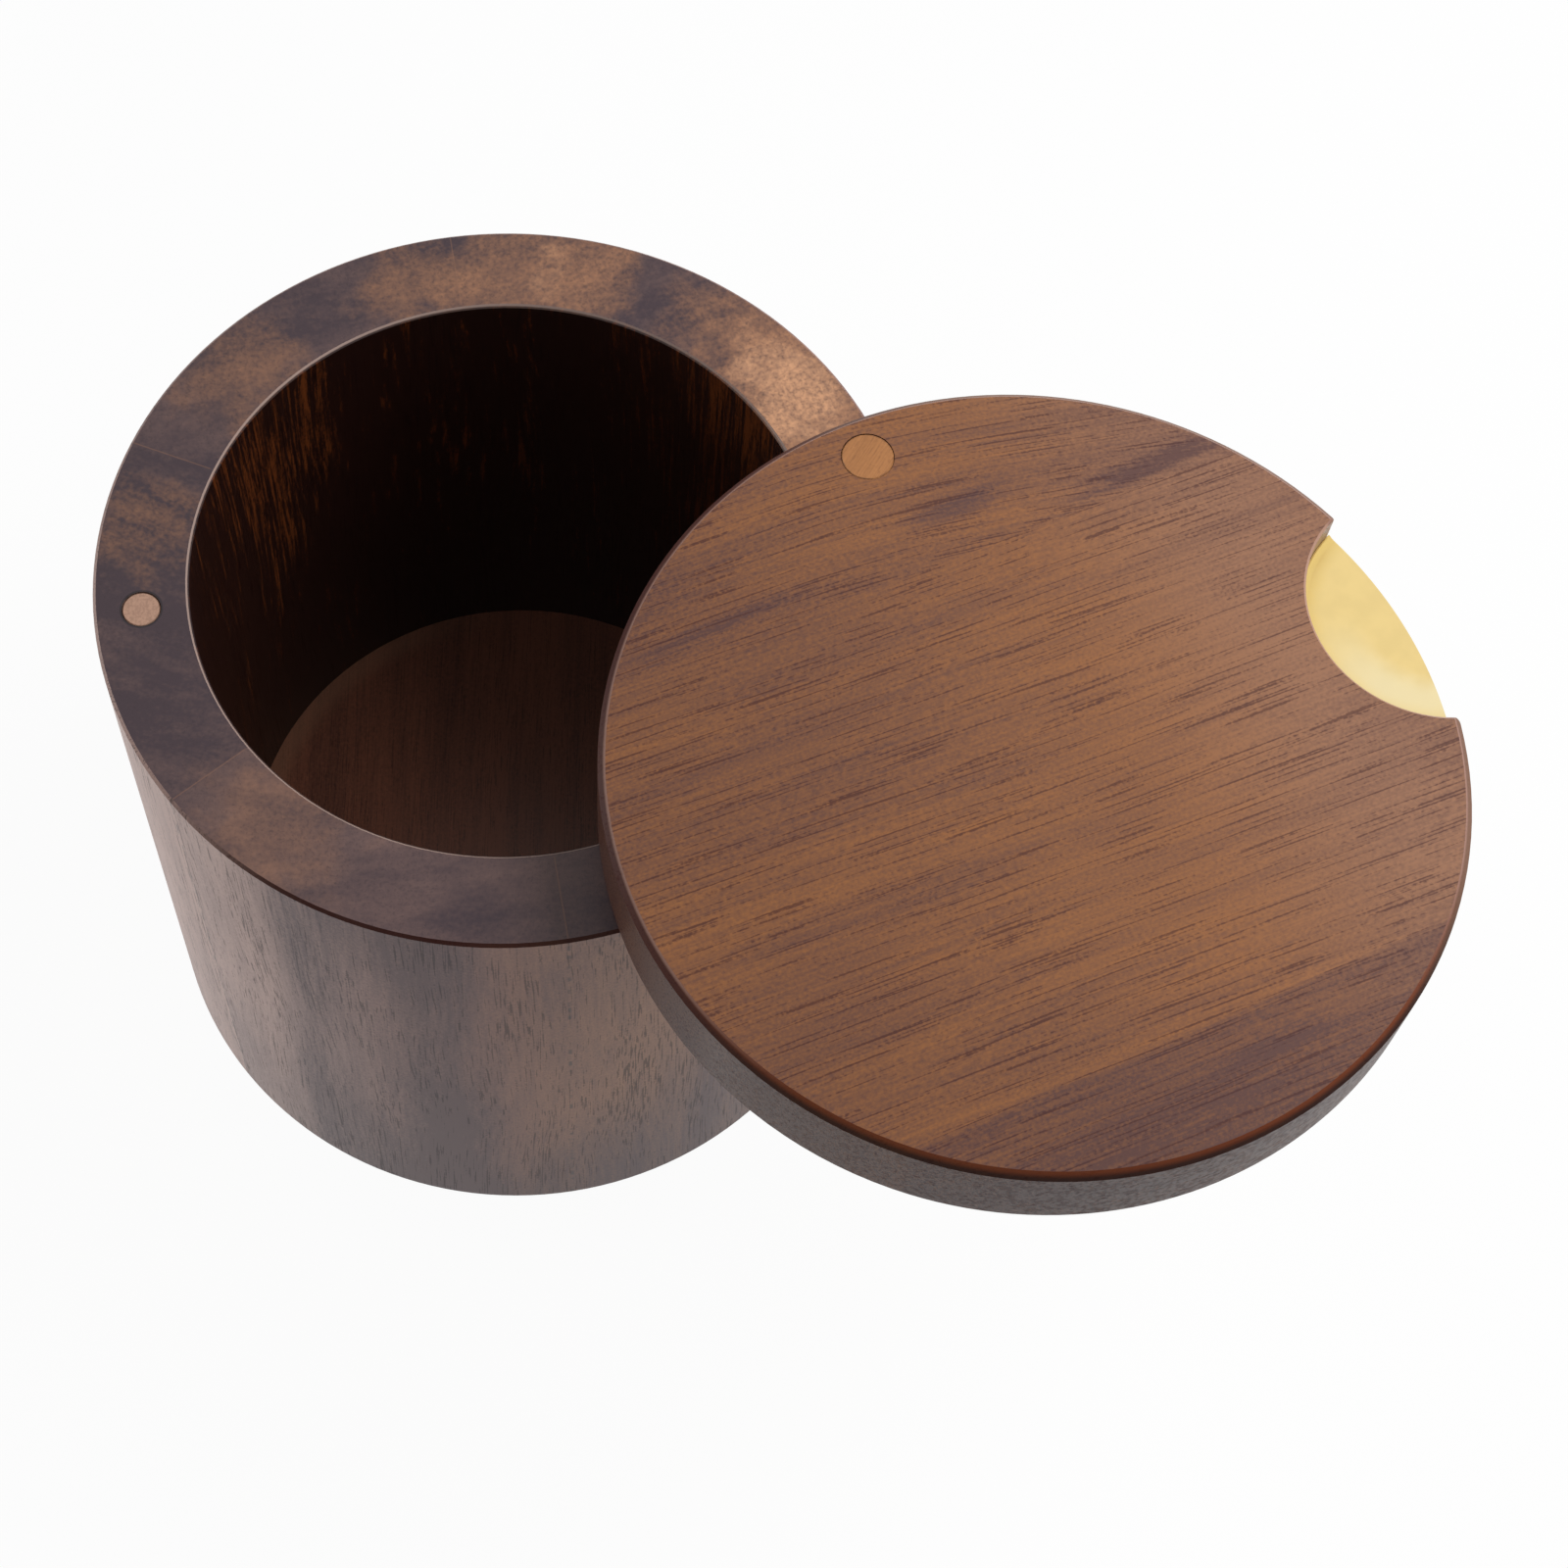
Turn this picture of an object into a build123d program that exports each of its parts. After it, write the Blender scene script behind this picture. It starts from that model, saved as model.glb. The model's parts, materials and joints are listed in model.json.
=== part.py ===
"""Round wooden salt box whose flat lid swivels on a pin near the rim.

Frame: millimetres, +Z up. The origin is the centre of the base, on the surface the box stands on.
+X runs from the box's axis to the pivot pin, and the thumb notch faces -Y when the lid is closed.
The lid is modelled swung open, turned about the pin by open_angle from its closed place.
"""

import math
import os

from build123d import *

# ---- Turned box -------------------------------------------------------------
outer_diameter = 102.0
wall_thickness = 11.8
body_height = 93.0
floor_thickness = 12.0
floor_rebate = 3.0  # width of the ledge that the floor disc is glued up against
rim_edge_break = 0.4
foot_chamfer = 0.8
floor_edge_break = 0.5
stave_count = 6  # the wall is glued up from staves, then turned
stave_joint_bearing = 28.5  # degrees round the box from the pin to the first glue joint
glue_gap = 0.05  # radial room round every glued piece

# ---- Lid --------------------------------------------------------------------
lid_thickness = 13.0
lid_top_chamfer = 0.9
lid_foot_break = 0.4
slip_gap = 0.2  # daylight between the rim and the lid, held by the slip washer
open_angle = 103.0  # degrees from closed, counter-clockwise from above
left_joint = 36.8  # from the lid's centre to the glue joint on the magnet's side
right_joint = 28.0  # from the lid's centre to the glue joint on the pin's side

# ---- Thumb notch and its brass plate ----------------------------------------
notch_cutter_diameter = 31.8
notch_reach = 12.5  # how far the notch reaches in from the lid's edge
notch_depth = 4.3  # from the lid's top down to the brass
notch_bearing = -90.0  # degrees round the lid from the pin
notch_corner_radius = 0.6
notch_edge_break = 0.3
plate_thickness = 1.4
plate_cove_radius = 1.6
plate_cove_width = 0.8
plate_lip = 0.2  # flat top of the coved edge
plate_edge_break = 0.2  # how far the plate stays inside the lid's edge

# ---- Magnets: one in the rim, one in the lid --------------------------------
magnet_diameter = 4.76
magnet_length = 3.0
magnet_edge_break = 0.2
magnet_bearing = 177.0  # degrees round the rim from the pin

# ---- Pivot ------------------------------------------------------------------
running_clearance = 0.05  # radial
washer_clearance = 0.1  # radial, both inside and outside the slip washer
screw_diameter = 3.0
screw_head_diameter = 5.6
screw_head_height = 2.0
screw_tip_length = 1.0  # past the end of the insert
socket_size = 2.0  # across the flats
socket_depth = 1.1
insert_diameter = 5.2
insert_length = 10.0
pilot_spare_depth = 2.0  # hole left below the insert
sleeve_diameter = 4.4
washer_diameter = 9.0
washer_thickness = 0.8
plug_diameter = 6.5
plug_length = 3.2
plug_edge_break = 0.15
end_play = 0.2  # lid's up and down freedom under the screw head
head_room = 0.4  # air between the screw head and the plug

# ---- Worked out from the above ----------------------------------------------
outer_radius = outer_diameter / 2
bore_radius = outer_radius - wall_thickness
pivot_radius = outer_radius - wall_thickness / 2
rebate_radius = bore_radius + floor_rebate

lid_bottom = body_height + slip_gap
plug_seat_radius = plug_diameter / 2 + glue_gap
counterbore_depth = plug_length + head_room + screw_head_height + end_play
web_thickness = lid_thickness - counterbore_depth
washer_recess = washer_thickness - slip_gap
sleeve_length = slip_gap + web_thickness + end_play

screw_hole_radius = screw_diameter / 2 + running_clearance
sleeve_hole_radius = sleeve_diameter / 2 + running_clearance
washer_hole_radius = sleeve_diameter / 2 + washer_clearance
washer_recess_radius = washer_diameter / 2 + washer_clearance
magnet_seat_radius = magnet_diameter / 2 + glue_gap

notch_radius = notch_cutter_diameter / 2
notch_centre_radius = outer_radius - notch_reach + notch_radius
plate_radius = notch_radius - glue_gap
plate_level = lid_thickness - notch_depth
plate_seat_level = plate_level - plate_thickness
tool_margin = 1.0  # how far a turning tool's profile reaches past the wood


def around(radius, bearing):
    """The point at a bearing, in degrees, on a circle about a workplane's origin."""
    angle = math.radians(bearing)
    return (radius * math.cos(angle), radius * math.sin(angle))


pivot_point = (pivot_radius, 0.0)
magnet_point = around(pivot_radius, magnet_bearing)
notch_point = around(notch_centre_radius, notch_bearing)

# The lid's own workplane: its underside, with its X axis towards the pin.
swing = math.radians(open_angle)
lid_plane = Plane(
    origin=(
        pivot_radius - pivot_radius * math.cos(swing),
        -pivot_radius * math.sin(swing),
        lid_bottom,
    ),
    x_dir=(math.cos(swing), math.sin(swing), 0),
    z_dir=(0, 0, 1),
)

os.makedirs("parts", exist_ok=True)


def save(piece, name):
    """Labels a finished piece and writes its STEP file."""
    piece.part.label = name
    export_step(piece.part, f"parts/{name}.step")


# ---- Wall: staves glued edge to edge, turned as one and rebated for the floor
stave_arc = 360 / stave_count
for number in range(stave_count):
    joint_bearing = stave_joint_bearing + number * stave_arc
    joint_plane = Plane(
        origin=(0, 0, 0),
        x_dir=(*around(1, joint_bearing), 0),
        z_dir=(*around(1, joint_bearing - 90), 0),
    )
    with BuildPart() as stave:
        with BuildSketch(joint_plane):
            with BuildLine():
                Polyline(
                    (rebate_radius, 0),
                    (outer_radius - foot_chamfer, 0),
                    (outer_radius, foot_chamfer),
                    (outer_radius, body_height - rim_edge_break),
                    (outer_radius - rim_edge_break, body_height),
                    (bore_radius + rim_edge_break, body_height),
                    (bore_radius, body_height - rim_edge_break),
                    (bore_radius, floor_thickness),
                    (rebate_radius, floor_thickness),
                    close=True,
                )
            make_face()
        revolve(axis=Axis.Z, revolution_arc=stave_arc)
        with Locations((*pivot_point, body_height)):
            Hole(insert_diameter / 2 + glue_gap, depth=insert_length)
            Hole(screw_hole_radius, depth=insert_length + pilot_spare_depth)
        with Locations((*magnet_point, body_height)):
            Hole(magnet_seat_radius, depth=magnet_length)
    save(stave, f"wall_stave_{number + 1}")

# ---- Floor disc, glued into the rebate flush with the foot ------------------
with BuildPart() as floor_disc:
    with BuildSketch(Plane.XY):
        Circle(rebate_radius - glue_gap)
    extrude(amount=floor_thickness)
    chamfer(floor_disc.edges().group_by(Axis.Z)[0], floor_edge_break)
save(floor_disc, "floor_disc")

# ---- Magnets, each flush in its pocket --------------------------------------
magnet_faces = {
    "rim_magnet": Plane(origin=(*magnet_point, body_height)),
    "lid_magnet": Plane(
        origin=lid_plane.from_local_coords((*magnet_point, 0)), z_dir=(0, 0, -1)
    ),
}
for magnet_name, magnet_face in magnet_faces.items():
    with BuildPart() as magnet:
        with BuildSketch(magnet_face):
            Circle(magnet_diameter / 2)
        extrude(amount=-magnet_length)
        chamfer(magnet.edges().filter_by(GeomType.CIRCLE), magnet_edge_break)
    save(magnet, magnet_name)

# ---- Rings on the pivot's axis ----------------------------------------------
# The insert is sunk in the wall. The sleeve that the lid turns on is clamped between the
# insert and the screw head. The slip washer lies loose round the sleeve, rim below, lid above.
# Each is (level of its underside, height, outer radius, hole radius).
pivot_rings = {
    "threaded_insert": (
        body_height - insert_length,
        insert_length,
        insert_diameter / 2,
        screw_hole_radius,
    ),
    "pivot_sleeve": (
        body_height,
        sleeve_length,
        sleeve_diameter / 2,
        screw_hole_radius,
    ),
    "slip_washer": (
        body_height,
        washer_thickness,
        washer_diameter / 2,
        washer_hole_radius,
    ),
}
for ring_name, (level, height, radius, hole_radius) in pivot_rings.items():
    with BuildPart() as ring:
        with BuildSketch(Plane(origin=(*pivot_point, level))):
            Circle(radius)
            Circle(hole_radius, mode=Mode.SUBTRACT)
        extrude(amount=height)
    save(ring, ring_name)

# ---- Pivot screw, its head holding the lid down -----------------------------
head_plane = Plane(origin=(*pivot_point, body_height + sleeve_length))
with BuildPart() as pivot_screw:
    with BuildSketch(head_plane):
        Circle(screw_head_diameter / 2)
    extrude(amount=screw_head_height)
    with BuildSketch(head_plane):
        Circle(screw_diameter / 2)
    extrude(amount=-(sleeve_length + insert_length + screw_tip_length))
    with BuildSketch(head_plane.offset(screw_head_height)):
        RegularPolygon(socket_size / 2, side_count=6, major_radius=False)
    extrude(amount=-socket_depth, mode=Mode.SUBTRACT)
save(pivot_screw, "pivot_screw")

# ---- Lid: three planks glued edge to edge, worked as one board --------------
# The thumb notch is cut in the board down to the plate's seat. All the upper
# edges are broken, and the round edge is then turned to its wider chamfer.
lid_section_plane = Plane(
    origin=lid_plane.origin,
    x_dir=lid_plane.x_dir,
    z_dir=-lid_plane.y_dir,
)
notch_mouth = lid_plane.from_local_coords((*notch_point, lid_thickness))
with BuildPart() as lid_board:
    with BuildSketch(lid_plane):
        Circle(outer_radius)
    extrude(amount=lid_thickness)
    with BuildSketch(lid_plane.offset(lid_thickness)):
        with Locations(notch_point):
            Circle(notch_radius)
    extrude(amount=-(notch_depth + plate_thickness), mode=Mode.SUBTRACT)
    upright_edges = lid_board.edges().filter_by(GeomType.LINE)
    fillet(upright_edges.sort_by_distance(notch_mouth)[:2], notch_corner_radius)
    chamfer(lid_board.faces().sort_by(Axis.Z)[-1].edges(), notch_edge_break)
    with BuildSketch(lid_section_plane):
        Polygon(
            (outer_radius - lid_top_chamfer - tool_margin, lid_thickness + tool_margin),
            (outer_radius + tool_margin, lid_thickness - lid_top_chamfer - tool_margin),
            (outer_radius + tool_margin, lid_thickness + tool_margin),
            align=None,
        )
    revolve(axis=Axis(lid_section_plane.origin, (0, 0, 1)), mode=Mode.SUBTRACT)
    chamfer(lid_board.faces().sort_by(Axis.Z)[0].edges(), lid_foot_break)
    with Locations(Plane(origin=(*pivot_point, lid_bottom + lid_thickness))):
        CounterBoreHole(sleeve_hole_radius, plug_seat_radius, counterbore_depth)
    with BuildSketch(lid_plane):
        with Locations(pivot_point):
            Circle(washer_recess_radius)
    extrude(amount=washer_recess, mode=Mode.SUBTRACT)
    with BuildSketch(lid_plane):
        with Locations(magnet_point):
            Circle(magnet_seat_radius)
    extrude(amount=magnet_length, mode=Mode.SUBTRACT)

plank_edges = {
    "lid_plank_left": (-outer_radius, -left_joint),
    "lid_plank_middle": (-left_joint, right_joint),
    "lid_plank_right": (right_joint, outer_radius),
}
for plank_name, (low_edge, high_edge) in plank_edges.items():
    with BuildPart() as plank:
        add(lid_board.part)
        with BuildSketch(lid_plane):
            with Locations(((low_edge + high_edge) / 2, 0)):
                Rectangle(high_edge - low_edge, outer_diameter)
        extrude(amount=lid_thickness, mode=Mode.INTERSECT)
    save(plank, plank_name)

# ---- Thumb plate: a turned brass disc with a coved edge, cut to the lid's rim
cove_rise = plate_cove_radius - math.sqrt(plate_cove_radius**2 - plate_cove_width**2)
cove_start = plate_radius - plate_lip - plate_cove_width
notch_axis_plane = Plane(
    origin=lid_plane.from_local_coords((*notch_point, plate_level)),
    x_dir=lid_plane.x_dir,
    z_dir=-lid_plane.y_dir,
)
with BuildPart() as thumb_plate:
    with BuildSketch(notch_axis_plane):
        with BuildLine():
            Line((0, 0), (cove_start, 0))
            cove = TangentArc(
                (cove_start, 0),
                (plate_radius - plate_lip, cove_rise),
                tangent=(1, 0),
            )
            Polyline(
                cove @ 1,
                (plate_radius, cove_rise),
                (plate_radius, -plate_thickness),
                (0, -plate_thickness),
                (0, 0),
            )
        make_face()
    revolve(axis=Axis(notch_axis_plane.origin, (0, 0, 1)))
    with BuildSketch(lid_plane.offset(plate_seat_level)):
        Circle(outer_radius - plate_edge_break)
    extrude(amount=lid_thickness - plate_seat_level, mode=Mode.INTERSECT)
save(thumb_plate, "thumb_plate")

# ---- Wooden plug over the screw head ----------------------------------------
with BuildPart() as pivot_plug:
    with BuildSketch(lid_plane.offset(lid_thickness)):
        with Locations(pivot_point):
            Circle(plug_diameter / 2)
    extrude(amount=-plug_length)
    chamfer(pivot_plug.edges().group_by(Axis.Z)[-1], plug_edge_break)
save(pivot_plug, "pivot_plug")
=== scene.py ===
"""Looks, lights and camera for the round wooden salt box with a swivel lid.

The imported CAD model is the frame: its pieces keep their shapes and get their finishes here.
Metres, +Z up, origin under the middle of the box, +X towards the pivot pin.
"""

import json
import math

import bpy
from mathutils import Matrix, Quaternion, Vector


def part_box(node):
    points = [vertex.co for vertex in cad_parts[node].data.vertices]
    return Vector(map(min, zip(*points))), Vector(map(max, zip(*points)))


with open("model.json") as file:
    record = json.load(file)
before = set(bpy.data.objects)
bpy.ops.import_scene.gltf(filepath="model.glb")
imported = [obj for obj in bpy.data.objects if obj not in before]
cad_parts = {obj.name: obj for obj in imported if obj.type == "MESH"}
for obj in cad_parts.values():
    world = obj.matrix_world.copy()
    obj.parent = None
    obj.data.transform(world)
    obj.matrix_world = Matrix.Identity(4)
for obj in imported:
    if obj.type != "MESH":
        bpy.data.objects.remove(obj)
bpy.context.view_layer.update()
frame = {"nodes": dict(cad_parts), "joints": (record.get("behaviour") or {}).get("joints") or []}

bl_info = {
    "name": "Salt Box Looks",
    "version": (1, 0, 0),
    "blender": (4, 5, 0),
    "location": "View3D > Sidebar > Salt Box",
    "description": "Finishes the pieces of a wooden salt box and sets up its studio",
    "category": "Object",
}

NODES = frame["nodes"]
METRES_PER_MM = 0.001
ORIGIN = (0.0, 0.0, 0.0)
UP = Vector((0.0, 0.0, 1.0))


def along(bearing):
    """The level unit vector at a bearing about the Z axis, in radians."""
    return Vector((math.cos(bearing), math.sin(bearing), 0.0))


def opaque(rgb, shade=1.0):
    """A colour setting as an opaque colour, darkened by a factor."""
    return (*(shade * value for value in rgb), 1.0)


# ---- Where the pieces lie ---------------------------------------------------
PIVOT = Vector(frame["joints"][0]["pos_m"])
LID_BEARING = math.radians(103.0)  # from the lid's middle to the pin, lid swung open
LID_MIDDLE = Vector(
    (
        PIVOT.x - PIVOT.x * math.cos(LID_BEARING),
        -PIVOT.x * math.sin(LID_BEARING),
        PIVOT.z,
    )
)
LID_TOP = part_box("lid_plank_middle")[1].z
RIM_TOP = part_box("wall_stave_1")[1].z
MAGNET_MIDDLE = (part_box("rim_magnet")[0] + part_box("rim_magnet")[1]) / 2
STAVE_COUNT = 6
STAVE_ARC = 2 * math.pi / STAVE_COUNT
FIRST_STAVE_MIDDLE = math.radians(28.5) + STAVE_ARC / 2
LEFT_JOINT = -36.8  # mm from the lid's middle, towards the pin
GRAIN_SLOPE = math.radians(2.0)  # of the lid's grain to the joints
LID_RADIUS = 51.0  # mm, and the wall's outer radius too
BORE_RADIUS = 39.2  # mm
RIM_MIDDLE = (LID_RADIUS + BORE_RADIUS) / 2 * METRES_PER_MM  # radius halfway across the rim
NOTCH_RADIUS = 15.9  # mm
NOTCH_REACH = 12.5  # mm in from the lid's edge
NOTCH_PLACE = (0.0, 0.0, NOTCH_REACH - LID_RADIUS - NOTCH_RADIUS)  # mm, in the lid's boards
NOTCH_CENTRE = LID_MIDDLE + along(LID_BEARING + math.pi / 2) * NOTCH_PLACE[2] * METRES_PER_MM


# ---- Shader building --------------------------------------------------------
class Graph:
    """Adds nodes to one shader tree; an input is given as a socket to link or as a plain value."""

    def __init__(self, tree, material=None):
        self.tree = tree
        self.material = material

    def wire(self, socket, value):
        if isinstance(value, bpy.types.NodeSocket):
            self.tree.links.new(value, socket)
        else:
            socket.default_value = value

    def add(self, kind, inputs=(), **settings):
        node = self.tree.nodes.new(kind)
        for name, value in settings.items():
            setattr(node, name, value)
        for key, value in dict(inputs).items():
            self.wire(node.inputs[key], value)
        return node

    def math(self, operation, *values, clamp=False):
        inputs = dict(enumerate(values))
        node = self.add("ShaderNodeMath", inputs, operation=operation, use_clamp=clamp)
        return node.outputs[0]

    def times(self, *values):
        return self.math("MULTIPLY", *values)

    def invert(self, value):
        return self.math("SUBTRACT", 1.0, value)

    def centred(self, value):
        return self.math("SUBTRACT", value, 0.5)

    def scale_add(self, value, scale, addend, clamp=False):
        return self.math("MULTIPLY_ADD", value, scale, addend, clamp=clamp)

    def place(self):
        """The position on the piece, in metres."""
        return self.add("ShaderNodeTexCoord").outputs["Object"]

    def place_mm(self):
        inputs = {0: self.place(), "Scale": 1 / METRES_PER_MM}
        return self.add("ShaderNodeVectorMath", inputs, operation="SCALE").outputs[0]

    def normal(self):
        return self.add("ShaderNodeTexCoord").outputs["Normal"]

    def chamfer(self):
        """1 on the faces that slope at 45 degrees, such as broken edges."""
        tilt = self.math("SUBTRACT", self.split(self.normal())[2], math.cos(math.pi / 4))
        return self.invert(self.step(self.math("ABSOLUTE", tilt), 0.1, 0.25))

    def vector(self, operation, *values):
        node = self.add("ShaderNodeVectorMath", dict(enumerate(values)), operation=operation)
        return node.outputs[1 if operation in ("LENGTH", "DOT_PRODUCT") else 0]

    def level(self, offset):
        """An offset in metres as millimetres, without its height."""
        return self.vector("MULTIPLY", offset, (1 / METRES_PER_MM, 1 / METRES_PER_MM, 0.0))

    def towards(self, direction, bearing, low, high):
        """From 0 to 1 as a level direction turns to a bearing; low and high are cosines."""
        return self.step(self.vector("DOT_PRODUCT", direction, along(bearing)), low, high)

    def noise(self, position, scale, detail=2.0, roughness=0.5):
        """Noise over a position in mm, its cell in mm along each axis; about 0.5 on average."""
        cells = self.vector("DIVIDE", position, scale)
        node = self.add(
            "ShaderNodeTexNoise",
            {"Vector": cells, "Scale": 1.0, "Detail": detail, "Roughness": roughness},
        )
        return node.outputs[0]

    def step(self, value, low, high):
        """Runs smoothly from 0 at low to 1 at high."""
        node = self.add(
            "ShaderNodeMapRange",
            {"Value": value, "From Min": low, "From Max": high},
            interpolation_type="SMOOTHSTEP",
        )
        return node.outputs[0]

    def blend(self, factor, first, second, blend_type="MIX"):
        node = self.add("ShaderNodeMix", data_type="RGBA", blend_type=blend_type)
        for index, value in {0: factor, 6: first, 7: second}.items():
            self.wire(node.inputs[index], value)
        return node.outputs[2]

    def mark(self, colour, mask, strength, tone):
        """Lays a mark of one tone over a colour where its mask is 1."""
        return self.blend(self.times(mask, strength), colour, tone)

    def combine(self, x, y, z):
        return self.add("ShaderNodeCombineXYZ", {0: x, 1: y, 2: z}).outputs[0]

    def split(self, vector):
        return self.add("ShaderNodeSeparateXYZ", {0: vector}).outputs

    def group(self, name, **inputs):
        node = self.add("ShaderNodeGroup", node_tree=bpy.data.node_groups[name])
        for label, value in inputs.items():
            self.wire(node.inputs[label.replace("_", " ")], value)
        return node.outputs


def new_group(name, inputs, outputs):
    """A shader node group with named sockets: its graph, what it is given and what it makes."""
    tree = bpy.data.node_groups.new(name, "ShaderNodeTree")
    for label, (kind, default) in inputs.items():
        socket = tree.interface.new_socket(name=label, in_out="INPUT", socket_type=kind)
        socket.default_value = default
    for label, kind in outputs.items():
        tree.interface.new_socket(name=label, in_out="OUTPUT", socket_type=kind)
    graph = Graph(tree)
    return graph, graph.add("NodeGroupInput").outputs, graph.add("NodeGroupOutput").inputs


VECTOR = "NodeSocketVector"
COLOUR = "NodeSocketColor"
NUMBER = "NodeSocketFloat"
IN_BOARD = (1.0, 0.0, 1.0)  # multiplies a position in a board to leave out its depth


def build_wood_figure():
    """Wood as a solid: growth bands, fibres and pores, the same block seen on every face."""
    graph, given, made = new_group(
        "Wood Figure",
        {
            "Position": (VECTOR, (0, 0, 0)),
            "Light Wood": (COLOUR, (0.25, 0.11, 0.05, 1)),
            "Dark Wood": (COLOUR, (0.1, 0.045, 0.03, 1)),
            "Pore Colour": (COLOUR, (0.03, 0.012, 0.012, 1)),
            "Band Width": (NUMBER, 6.0),
            "Darkness": (NUMBER, 0.4),
            "Contrast": (NUMBER, 1.0),
            "Wander": (NUMBER, 3.0),
            "Bend": (NUMBER, 0.0),
            "Bend Start": (NUMBER, 0.0),
            "Pore Width": (NUMBER, 0.3),
            "Pore Length": (NUMBER, 6.0),
            "Pore Amount": (NUMBER, 0.8),
            "Pore Crowding": (NUMBER, 0.25),
            "Fibre Amount": (NUMBER, 0.5),
            "Speck Amount": (NUMBER, 0.45),
        },
        {"Colour": COLOUR, "Pores": NUMBER, "Fibre": NUMBER},
    )
    # The block is bent a little, so that no band runs dead straight.
    cells = graph.vector("DIVIDE", given["Position"], (38.0, 38.0, 70.0))
    inputs = {"Vector": cells, "Scale": 1.0, "Detail": 1.0}
    drift = graph.add("ShaderNodeTexNoise", inputs).outputs[1]
    drift = graph.vector("SUBTRACT", drift, (0.5, 0.5, 0.5))
    drift = graph.vector("MULTIPLY", drift, graph.combine(given["Wander"], given["Wander"], 0.0))
    past = graph.math("SUBTRACT", given["Bend Start"], graph.split(given["Position"])[2])
    past = graph.math("MAXIMUM", past, 0.0)
    swept = graph.times(graph.times(past, past), given["Bend"])
    place = graph.vector("ADD", given["Position"], drift)
    place = graph.vector("ADD", place, graph.combine(swept, 0.0, 0.0))

    # Layers of noise, from wide clouds to fine fibres; each is weighted into one tone.
    width = given["Band Width"]
    clouds = graph.noise(place, (16.0, 16.0, 42.0))
    cell = graph.combine(width, graph.times(width, 3.0), graph.times(width, 18.0))
    bands = graph.noise(place, cell, detail=3.0, roughness=0.6)
    lines = graph.noise(place, (0.34, 0.9, 16.0), roughness=0.6)
    fibre = graph.noise(place, (0.14, 0.16, 1.3), roughness=0.7)
    specks = graph.noise(place, (0.36, 0.36, 0.45), detail=1.0)
    tone = graph.scale_add(graph.centred(bands), 1.1, given["Darkness"])
    tone = graph.scale_add(graph.centred(clouds), 0.9, tone)
    texture = graph.scale_add(graph.centred(lines), 1.9, graph.centred(fibre))
    tone = graph.scale_add(texture, given["Fibre Amount"], tone)
    tone = graph.scale_add(graph.centred(specks), given["Speck Amount"], tone)
    tone = graph.scale_add(graph.centred(tone), given["Contrast"], 0.5, clamp=True)
    colour = graph.blend(tone, given["Light Wood"], given["Dark Wood"])

    # Pores are short dashes along the grain, thicker in some bands than in others.
    cell = graph.combine(given["Pore Width"], given["Pore Width"], given["Pore Length"])
    dashes = graph.noise(place, cell, detail=0.0)
    crowd = graph.noise(place, (3.0, 6.0, 30.0), detail=0.0)
    dashes = graph.scale_add(graph.centred(crowd), given["Pore Crowding"], dashes)
    dashes = graph.scale_add(graph.centred(specks), 0.3, dashes)
    pores = graph.times(graph.step(dashes, 0.6, 0.76), given["Pore Amount"])
    colour = graph.blend(pores, colour, given["Pore Colour"])
    for name, value in {"Colour": colour, "Pores": pores, "Fibre": fibre}.items():
        graph.wire(made[name], value)


def build_end_grain():
    """How far a face looks along the grain, for the darker colour of end grain."""
    graph, given, made = new_group(
        "End Grain",
        {"Grain": (VECTOR, (0, 0, 1)), "Start": (NUMBER, 0.6), "Full": (NUMBER, 0.95)},
        {"Mask": NUMBER},
    )
    facing = graph.math("ABSOLUTE", graph.vector("DOT_PRODUCT", graph.normal(), given["Grain"]))
    graph.wire(made["Mask"], graph.step(facing, given["Start"], given["Full"]))


def build_ring_line():
    """A broken thin line round an upright axis, such as the glue line round a plug."""
    graph, given, made = new_group(
        "Ring Line",
        {
            "Centre": (VECTOR, (0, 0, 0)),
            "Radius": (NUMBER, 3.0),
            "Width": (NUMBER, 0.2),
            "Breaks": (NUMBER, 0.5),
        },
        {"Mask": NUMBER},
    )
    offset = graph.level(graph.vector("SUBTRACT", graph.place(), given["Centre"]))
    away = graph.math("SUBTRACT", graph.vector("LENGTH", offset), given["Radius"])
    away = graph.math("ABSOLUTE", away)
    line = graph.invert(graph.step(away, graph.times(given["Width"], 0.4), given["Width"]))
    gaps = graph.step(graph.noise(offset, (1.6, 1.6, 1.6), detail=1.0), 0.35, 0.55)
    kept = graph.invert(graph.times(gaps, given["Breaks"]))
    graph.wire(made["Mask"], graph.times(line, kept))


def build_warm_patch():
    """A soft ragged patch round a point: lighter heartwood in end grain, and in part painted light.
    """
    graph, given, made = new_group(
        "Warm Patch",
        {"Centre": (VECTOR, (0, 0, 0)), "Size": (NUMBER, 12.0)},
        {"Mask": NUMBER},
    )
    offset = graph.level(graph.vector("SUBTRACT", graph.place(), given["Centre"]))
    ragged = graph.noise(offset, (7.0, 7.0, 7.0), detail=3.0, roughness=0.6)
    away = graph.math("DIVIDE", graph.vector("LENGTH", offset), given["Size"])
    away = graph.scale_add(graph.centred(ragged), 1.6, away)
    graph.wire(made["Mask"], graph.invert(graph.step(away, 0.3, 1.1)))


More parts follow.
